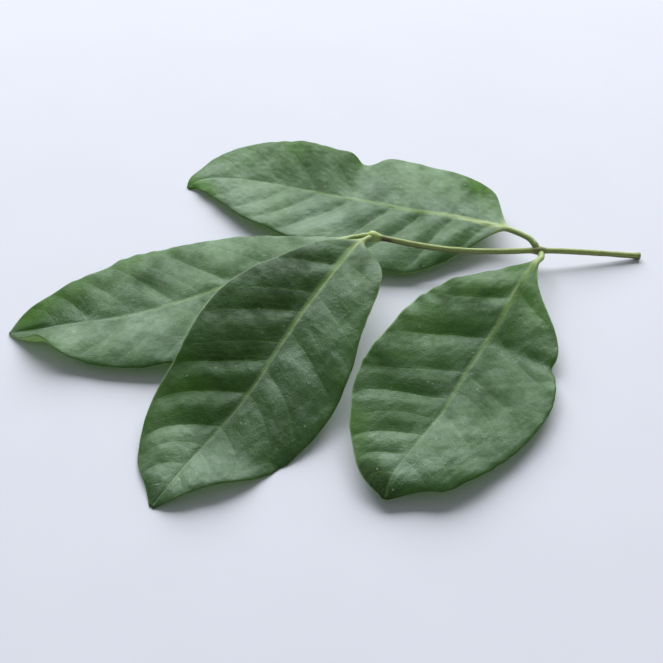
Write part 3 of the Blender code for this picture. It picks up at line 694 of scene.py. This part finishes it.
def drawn_slab(name, rows, columns):
    """Level grid drawn up into a closed slab, with the row, column and layer of each vertex."""
    deselect_all()
    bpy.ops.mesh.primitive_grid_add(x_subdivisions=columns - 1, y_subdivisions=rows - 1, size=1)
    piece = bpy.context.object
    piece.name = name
    piece.data.name = name
    edit_all()
    bpy.ops.mesh.extrude_region_move(TRANSFORM_OT_translate={"value": (0, 0, 1)})
    bpy.ops.object.mode_set(mode="OBJECT")
    place = vertex_places(piece)
    column = np.rint((place[:, 0] + 0.5) * (columns - 1)).astype(int)
    row = np.rint((place[:, 1] + 0.5) * (rows - 1)).astype(int)
    return piece, row, column, place[:, 2] > 0.5


def drawn_tube(name, rings):
    """Disc drawn up ring by ring into a closed tube, with the ring and turn of each vertex."""
    deselect_all()
    bpy.ops.mesh.primitive_circle_add(vertices=TWIG_SIDES, radius=1, fill_type="NGON")
    piece = bpy.context.object
    piece.name = name
    piece.data.name = name
    edit_all()
    for _ in range(rings - 1):
        bpy.ops.mesh.extrude_region_move(TRANSFORM_OT_translate={"value": (0, 0, 1)})
    bpy.ops.object.mode_set(mode="OBJECT")
    place = vertex_places(piece)
    ring = np.clip(np.rint(place[:, 2]).astype(int), 0, rings - 1)
    return piece, ring, np.arctan2(place[:, 1], place[:, 0])


def close_skin():
    """Normals outwards and smooth shading for the active piece, which stays at the origin."""
    edit_all()
    bpy.ops.mesh.normals_make_consistent(inside=False)
    bpy.ops.object.mode_set(mode="OBJECT")
    bpy.ops.object.shade_smooth()


def add_mark(mesh, name, values):
    """Number at each vertex that a material reads by its name."""
    attribute = mesh.attributes.new(name, "FLOAT", "POINT")
    attribute.data.foreach_set("value", np.ascontiguousarray(values, dtype=np.float32))


def build_leaf(name, leaf, seed, settings):
    """Closed leaf with its stalk, and the marks that its material reads."""
    top, under, marks, flat = shape_leaf(leaf, seed, settings)
    rows, columns = top.shape[:2]
    piece, row, column, upper = drawn_slab("bay_" + name, rows, columns)
    points = np.where(upper[:, None], top[row, column], under[row, column]) * MILLIMETRE
    piece.data.vertices.foreach_set("co", points.ravel())
    for mark, field in marks.items():
        add_mark(piece.data, mark, field[row, column])
    add_mark(piece.data, "under_face", 1.0 - upper)
    spread = piece.data.attributes.new("spread", "FLOAT_VECTOR", "POINT")
    spread.data.foreach_set("vector", flat[row, column].ravel().astype(np.float32))
    piece.data.update()
    close_skin()
    return piece


def twig_radius(path, share, plain):
    """Radius along the twig: flared cut end, swollen node, knob, and a little unevenness."""
    place = share * path.length
    radius = np.full_like(place, plain)
    for middle, (size, spread) in (
            (0, CUT_SWELLING), (NODE_RUN, NODE_SWELLING), (path.length - KNOB_INSET, KNOB_SWELLING)):
        radius += (size - plain) * bell(place - middle, spread)
    radius += 0.03 * ripple(5, place * 1.1) * smooth(1, 6, place)
    from_tip = np.clip((path.length - place) / KNOB_ROUNDING, 0, 1)
    return radius * np.sqrt(np.clip(1 - (1 - from_tip) ** 2, 0.02, 1))


def cut_face(mesh):
    """The many-sided face at the cut end of the twig."""
    return max((face for face in mesh.polygons if len(face.vertices) > 4),
               key=lambda face: face.center.x)


def build_twig(settings):
    """Closed twig with its rings close at the node and at the rounded knob."""
    path = Path(TWIG_PATH)
    even = np.linspace(0, 1, TWIG_RINGS)
    at_knob = 1 - np.geomspace(0.0004, 0.05, KNOB_RINGS)
    at_node = NODE_RUN / path.length + np.linspace(-0.03, 0.03, NODE_RINGS)
    shares = np.unique(np.concatenate((even, at_knob, at_node)))
    piece, ring, turn = drawn_tube("bay_twig", len(shares))

    share = shares[ring]
    heading = path.heading(share)
    left = level_left(heading)
    up = np.cross(heading, left)
    run = share * path.length
    radius = twig_radius(path, share, settings.radius / MILLIMETRE)
    radius = radius * (1 + 0.035 * ripple(8, run * 0.8, 2 * np.sin(turn), 2 * np.cos(turn)))
    points = path.at(share) + radius[:, None] * (
        np.cos(turn)[:, None] * left + np.sin(turn)[:, None] * up)
    points[:, 2] = np.maximum(points[:, 2], 0)
    piece.data.vertices.foreach_set("co", (points * MILLIMETRE).ravel())
    add_mark(piece.data, "run", run)
    add_mark(piece.data, "upward", np.sin(turn))
    piece.data.update()

    # Cut end: bark lip, then the pale wood set in from it
    deselect_all()
    bpy.context.view_layer.objects.active = piece
    piece.select_set(True)
    bpy.ops.object.mode_set(mode="EDIT")
    bpy.ops.mesh.select_mode(type="FACE")
    bpy.ops.mesh.select_all(action="DESELECT")
    bpy.ops.object.mode_set(mode="OBJECT")
    cut_face(piece.data).select = True
    bpy.ops.object.mode_set(mode="EDIT")
    for thickness, depth in CUT_INSETS:
        bpy.ops.mesh.inset(thickness=thickness, depth=depth)
    bpy.ops.object.mode_set(mode="OBJECT")
    close_skin()
    return piece


class Nodes:
    """Short hand for a material's node tree."""

    def __init__(self, material):
        self.tree = material.node_tree

    def put(self, value, socket):
        """Link an output to a socket, or set the socket's own value."""
        if isinstance(value, bpy.types.NodeSocket):
            self.tree.links.new(value, socket)
        else:
            socket.default_value = value

    def add(self, kind, inputs=None, **settings):
        """New node with its settings and its inputs."""
        node = self.tree.nodes.new(kind)
        for key, value in settings.items():
            setattr(node, key, value)
        for key, value in (inputs or {}).items():
            self.put(value, node.inputs[key])
        return node

    def place(self):
        """Object coordinates."""
        return self.add("ShaderNodeTexCoord").outputs["Object"]

    def mark(self, name, output="Fac"):
        """A mark that the mesh carries."""
        return self.add("ShaderNodeAttribute", attribute_name=name).outputs[output]

    def noise(self, vector, scale, detail=3.0, roughness=0.55):
        """Cloudy noise of a scale per metre."""
        return self.add("ShaderNodeTexNoise", {
            "Vector": vector, "Scale": scale, "Detail": detail, "Roughness": roughness}).outputs["Fac"]

    def cells(self, vector, scale, feature="F1"):
        """Distances in a pattern of cells of a scale per metre."""
        return self.add("ShaderNodeTexVoronoi", {"Vector": vector, "Scale": scale},
                        feature=feature).outputs["Distance"]

    def ranged(self, value, low, high, to_low=0.0, to_high=1.0):
        """Soft step from one range to another."""
        return self.add("ShaderNodeMapRange", {
            "Value": value, "From Min": low, "From Max": high, "To Min": to_low, "To Max": to_high},
            interpolation_type="SMOOTHSTEP").outputs["Result"]

    def maths(self, operation, first, second=0.0):
        """Result of one maths operation."""
        return self.add("ShaderNodeMath", {0: first, 1: second}, operation=operation).outputs[0]

    def times(self, first, second):
        """Product of two values."""
        return self.maths("MULTIPLY", first, second)

    def plus(self, *values):
        """Sum of two or more values."""
        total = values[0]
        for value in values[1:]:
            total = self.maths("ADD", total, value)
        return total

    def near(self, value, middle, low, high, most):
        """Most of it within low of a middle value, and none beyond high."""
        away = self.maths("ABSOLUTE", self.maths("SUBTRACT", value, middle))
        return self.ranged(away, low, high, most, 0.0)

    def blend(self, factor, first, second, blend_type="MIX"):
        """Second colour over the first."""
        node = self.add("ShaderNodeMix", data_type="RGBA", blend_type=blend_type, clamp_factor=True)
        self.put(factor, node.inputs[0])
        for socket, colour in ((6, first), (7, second)):
            if not isinstance(colour, bpy.types.NodeSocket):
                colour = (*colour[:3], 1)
            self.put(colour, node.inputs[socket])
        return node.outputs[2]

    def bump(self, height, distance):
        """Normal for a height that stands for up to a distance in metres."""
        return self.add("ShaderNodeBump", {
            "Height": height, "Distance": distance, "Strength": 1.0}).outputs["Normal"]


def scaled(colour, *factors):
    """Colour times one number, or times one for each part."""
    if len(factors) == 1:
        factors = factors * 3
    return tuple(part * factor for part, factor in zip(colour, factors))


def new_material(name):
    """Material, its nodes and its Principled shader."""
    material = bpy.data.materials.new(name)
    material.use_nodes = True
    return material, Nodes(material), material.node_tree.nodes["Principled BSDF"]


def leaf_material(name, leaf, settings):
    """Waxy quilted blade: deep green with fresh pillows, painted sheen and painted shade in soft spots,
    pale rib and veins, dull under face.
    """
    material, nodes, surface = new_material("bay_green_" + name)
    tone = leaf["tone"]
    upper = scaled(settings.upper, tone)
    where = nodes.place()
    spread = nodes.mark("spread", "Vector")
    rib = nodes.mark("rib")
    vein = nodes.mark("vein")
    weak = nodes.mark("weak_vein")
    edge = nodes.mark("edge")
    below = nodes.mark("under_face")
    along = nodes.mark("along")
    painted_sheen_and_shade = nodes.plus(
        nodes.mark("painted_sheen_and_shade"), nodes.ranged(nodes.noise(where, 170, 4, 0.6), 0.25, 0.75, -0.3, 0.3))
    yellow_and_glow_patch = nodes.times(
        nodes.ranged(nodes.noise(where, 120), 0.3, 0.7, 0.5, 1.2), nodes.mark("fresh"))
    cloud = nodes.ranged(nodes.noise(where, 240, 4, 0.6), 0.3, 0.72)

    # Greens of the upper face, from the broadest to the specks
    broad = nodes.ranged(nodes.noise(where, 55, 2), 0.35, 0.68)
    green = nodes.blend(broad, upper, scaled(settings.fresh, tone))
    green = nodes.blend(nodes.times(cloud, 0.35), green, scaled(upper, 0.6))
    # Spots of a brighter yellow green, partly the blade's own and partly painted light shining through it
    green = nodes.blend(nodes.ranged(yellow_and_glow_patch, 0.0, 1.4, 0.0, 0.9), green, scaled(YELLOW_AND_GLOW_GREEN, tone))
    # Painted sheen: a paler waxy green where the spots are above 0; painted shade: a deeper green where
    # they are below 0
    green = nodes.blend(nodes.ranged(painted_sheen_and_shade, 0.0, 1.9, 0.0, 0.7), green, PAINTED_SHEEN_GREEN)
    green = nodes.blend(
        nodes.ranged(painted_sheen_and_shade, -1.2, 0.0, 0.7, 0.0), green, scaled(scaled(upper, 0.4), *PAINTED_SHADE_HUE))
    specks = nodes.ranged(nodes.cells(where, 210), 0.05, 0.075, 0.5, 0.0)
    green = nodes.blend(specks, green, SPECK_GREEN)

    # Two nets of the finest veins, the veins, the margin and the rib
    warp = nodes.add("ShaderNodeTexNoise", {"Vector": spread, "Scale": 0.6}).outputs["Color"]
    net = nodes.cells(nodes.blend(0.12, spread, warp, "LINEAR_LIGHT"), 0.85, "DISTANCE_TO_EDGE")
    net_line = nodes.ranged(net, 0.0, 0.12, 1.0, 0.0)
    small_net = nodes.cells(spread, 2.4, "DISTANCE_TO_EDGE")
    small_line = nodes.ranged(small_net, 0.0, 0.16, 1.0, 0.0)
    for line, share in ((net_line, 0.16), (small_line, 0.07), (weak, 0.16), (vein, 0.3)):
        green = nodes.blend(nodes.times(line, share), green, settings.rib)
    # Margin: a pale rim, partly its own paler green and partly a painted highlight, and painted shade
    # where the mark is below 0
    green = nodes.blend(nodes.ranged(edge, 0.0, 1.0, 0.0, 0.7), green, RIM_GREEN_AND_HIGHLIGHT)
    green = nodes.blend(nodes.ranged(edge, -0.6, 0.0, 0.7, 0.0), green, scaled(upper, 0.4))
    rib_green = nodes.blend(
        nodes.ranged(along, 0.0, leaf["pale_foot"]), settings.stalk, settings.rib)
    rib_share = nodes.times(nodes.ranged(rib, 0.15, 0.85, 0.0, 0.9),
                            nodes.ranged(along, leaf["pale_foot"], 0.9, 1.0, leaf["rib_end"]))
    green = nodes.blend(rib_share, green, rib_green)

    # Paler under face
    pale = nodes.blend(nodes.times(cloud, 0.3), settings.under, UNDER_CLOUD)
    pale = nodes.blend(nodes.times(net_line, 0.3), pale, UNDER_NET)
    pale = nodes.blend(nodes.times(vein, 0.6), pale, UNDER_VEIN)
    pale = nodes.blend(nodes.ranged(rib, 0.2, 0.8), pale, UNDER_RIB)
    nodes.put(nodes.blend(below, green, pale), surface.inputs["Base Color"])

    # Waxy sheen, stronger in the spots of painted sheen, duller on the rib, in the spots of painted
    # shade, in the yellower spots and on the under face
    rough = nodes.plus(
        nodes.ranged(nodes.noise(where, 420), 0.3, 0.7, 0.36, 0.46),
        nodes.times(rib, 0.14),
        nodes.ranged(painted_sheen_and_shade, -1.2, 0.0, 0.22, 0.0),
        nodes.ranged(yellow_and_glow_patch, 0.0, 1.2, 0.0, 0.14),
        nodes.times(below, 0.15))
    nodes.put(rough, surface.inputs["Roughness"])
    nodes.put(nodes.ranged(painted_sheen_and_shade, -1.0, 1.0, 0.05, 1.0), surface.inputs["Specular IOR Level"])
    surface.inputs["IOR"].default_value = 1.45
    surface.inputs["Specular Tint"].default_value = SHEEN_TINT

    # Leathery grain and sunken nets
    lines = nodes.plus(nodes.times(net_line, 0.7), nodes.times(small_line, 0.35))
    grain = nodes.plus(
        nodes.noise(where, 2400, 1),
        nodes.times(nodes.noise(where, 800, 2), 2.2),
        nodes.times(nodes.noise(where, 330, 2), 4.0))
    relief = nodes.bump(nodes.maths("SUBTRACT", grain, lines), 0.00003)
    nodes.put(relief, surface.inputs["Normal"])

    # Light that comes through the thin blade
    thin = nodes.times(
        nodes.ranged(rib, 0.1, 0.9, 0.3, 0.0), nodes.ranged(painted_sheen_and_shade, -1.2, 0.0, 0.2, 1.0))
    through_light = nodes.add(
        "ShaderNodeBsdfTranslucent", {"Color": LIGHT_THROUGH, "Normal": relief})
    mixed = nodes.add(
        "ShaderNodeMixShader", {0: thin, 1: surface.outputs[0], 2: through_light.outputs[0]})
    nodes.put(mixed.outputs[0], nodes.tree.nodes["Material Output"].inputs["Surface"])
    return material


def twig_material(settings):
    """Young bark: olive green, brown at the node, brown below as painted shade, with a fresh green knob.
    """
    material, nodes, surface = new_material("bay_twig_bark")
    where = nodes.place()
    run = nodes.mark("run")
    upward = nodes.mark("upward")
    stretched = nodes.add("ShaderNodeMapping", {"Vector": where, "Scale": (0.12, 1, 1)})
    streaks = nodes.ranged(nodes.noise(stretched.outputs["Vector"], 5200), 0.35, 0.7)
    patches = nodes.ranged(nodes.noise(where, 160), 0.5, 0.66)
    # Painted shade: the under side of the twig takes the brown, darker than its top
    below = nodes.ranged(upward, -0.15, 0.4, 1.0, 0.0)
    bark_brown_and_shade = nodes.times(nodes.maths("MAXIMUM", below, nodes.times(patches, 0.3)), 0.75)
    bark_brown_and_shade = nodes.maths("MAXIMUM", bark_brown_and_shade, nodes.near(run, NODE_RUN, 1.2, 3.4, 0.5))
    bark_brown_and_shade = nodes.maths("MAXIMUM", bark_brown_and_shade, nodes.ranged(run, 0.3, 1.6, 0.4, 0.0))
    colour = nodes.blend(bark_brown_and_shade, settings.green, settings.bark_brown_and_shade)
    colour = nodes.blend(nodes.times(streaks, 0.22), colour, BARK_STREAK)
    spot = nodes.times(
        nodes.near(run, SPOT_RUN, 0.8, 3.0, 1.0), nodes.ranged(upward, 0.3, 1.0, 0.9, 0.35))
    colour = nodes.blend(spot, colour, BARK_SPOT)
    colour = nodes.blend(nodes.ranged(run, *KNOB_GREEN_RUN), colour, KNOB_GREEN)
    nodes.put(colour, surface.inputs["Base Color"])
    surface.inputs["Roughness"].default_value = 0.5
    relief = nodes.bump(nodes.plus(streaks, nodes.noise(where, 2600, 4)), 0.00006)
    nodes.put(relief, surface.inputs["Normal"])
    return material


def wood_material(settings):
    """Pale cut wood with a darker pith."""
    material, nodes, surface = new_material("bay_cut_wood")
    grain = nodes.ranged(nodes.noise(nodes.place(), 4200), 0.35, 0.65)
    nodes.put(nodes.blend(grain, settings.wood, scaled(settings.wood, 0.6)), surface.inputs["Base Color"])
    nodes.put(nodes.bump(grain, 0.00004), surface.inputs["Normal"])
    surface.inputs["Roughness"].default_value = 0.8
    return material


def stage_material(settings):
    """Matt pale surface."""
    material, nodes, surface = new_material("stage_surface")
    mottle = nodes.ranged(nodes.noise(nodes.place(), 28), 0.3, 0.7)
    colour = nodes.blend(mottle, settings.surface, scaled(settings.surface, 0.985))
    nodes.put(colour, surface.inputs["Base Color"])
    surface.inputs["Roughness"].default_value = 0.9
    surface.inputs["Specular IOR Level"].default_value = 0.2
    return material


class SPRIG_OT_leaves(bpy.types.Operator):
    """Build the four leaves, each with its stalk, rib, veins and waved blade"""

    bl_idname = "sprig.leaves"
    bl_label = "Leaves"

    def execute(self, context):
        settings = context.scene.sprig_leaf
        for seed, (name, leaf) in enumerate(LEAVES.items()):
            piece = build_leaf(name, leaf, 20 * seed + 3, settings)
            piece.data.materials.clear()
            piece.data.materials.append(leaf_material(name, leaf, settings))
            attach(piece, BODY)
            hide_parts(name)
        return {"FINISHED"}


class SPRIG_OT_twig(bpy.types.Operator):
    """Build the twig with its cut end, its node and its knob"""

    bl_idname = "sprig.twig"
    bl_label = "Twig"

    def execute(self, context):
        settings = context.scene.sprig_twig
        piece = build_twig(settings)
        piece.data.materials.clear()
        piece.data.materials.append(twig_material(settings))
        piece.data.materials.append(wood_material(settings))
        cut_face(piece.data).material_index = 1
        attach(piece, BODY)
        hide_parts("twig")
        return {"FINISHED"}


class SPRIG_OT_stage(bpy.types.Operator):
    """Lay the pale surface, and set the soft light and the camera"""

    bl_idname = "sprig.stage"
    bl_label = "Surface, light and camera"

    def execute(self, context):
        settings = context.scene.sprig_stage
        deselect_all()
        bpy.ops.mesh.primitive_plane_add(size=FLOOR_SIZE, location=(0, 0, 0))
        floor = context.object
        floor.name = "stage_surface"
        floor.data.materials.append(stage_material(settings))

        target = np.array(VIEW_MIDDLE)
        away = np.array((0, -math.sin(VIEW_TILT), math.cos(VIEW_TILT)))
        bpy.ops.object.camera_add(
            location=tuple(target + settings.distance * away), rotation=(VIEW_TILT, 0, 0))
        camera = context.object
        camera.data.sensor_width = SENSOR_WIDTH
        camera.data.lens = settings.lens
        camera.data.clip_start = CLIP_START
        context.scene.camera = camera

        bpy.ops.object.light_add(type="AREA", location=WINDOW_PLACE)
        window = context.object
        window.name = "window_light"
        window.data.shape = "RECTANGLE"
        window.data.size, window.data.size_y = WINDOW_SIZE
        window.data.energy = settings.window
        window.data.color = WINDOW_COLOUR
        x, y, z = unit(np.array(WINDOW_PLACE) - target)
        window.rotation_euler = (math.acos(z), 0, math.atan2(y, x) + math.pi / 2)

        world = bpy.data.worlds.new("room")
        world.use_nodes = True
        context.scene.world = world
        background = world.node_tree.nodes["Background"]
        background.inputs["Color"].default_value = ROOM_COLOUR
        background.inputs["Strength"].default_value = settings.room
        context.scene.view_settings.view_transform = "Standard"
        return {"FINISHED"}


class SPRIG_PT_panel(bpy.types.Panel):
    """Lists the steps that build the sprig, with their settings"""

    bl_idname = "SPRIG_PT_panel"
    bl_label = "Bay leaf sprig"
    bl_space_type = "VIEW_3D"
    bl_region_type = "UI"
    bl_category = "Bay leaf"

    def draw(self, context):
        layout = self.layout
        for step, group, _ in STEPS:
            box = layout.box()
            settings = getattr(context.scene, group)
            for key in settings.bl_rna.properties.keys():
                if key not in ("rna_type", "name"):
                    box.prop(settings, key)
            box.operator(step.bl_idname)


STEPS = (
    (SPRIG_OT_leaves, "sprig_leaf", SprigLeafSettings),
    (SPRIG_OT_twig, "sprig_twig", SprigTwigSettings),
    (SPRIG_OT_stage, "sprig_stage", SprigStageSettings),
)


def register():
    for step, group, kind in STEPS:
        bpy.utils.register_class(kind)
        setattr(bpy.types.Scene, group, PointerProperty(type=kind))
        bpy.utils.register_class(step)
    bpy.utils.register_class(SPRIG_PT_panel)


def unregister():
    bpy.utils.unregister_class(SPRIG_PT_panel)
    for step, group, kind in reversed(STEPS):
        bpy.utils.unregister_class(step)
        delattr(bpy.types.Scene, group)
        bpy.utils.unregister_class(kind)


def main():
    register()
    bpy.ops.sprig.leaves()
    bpy.ops.sprig.twig()
    bpy.ops.sprig.stage()


if __name__ == "__main__":
    main()
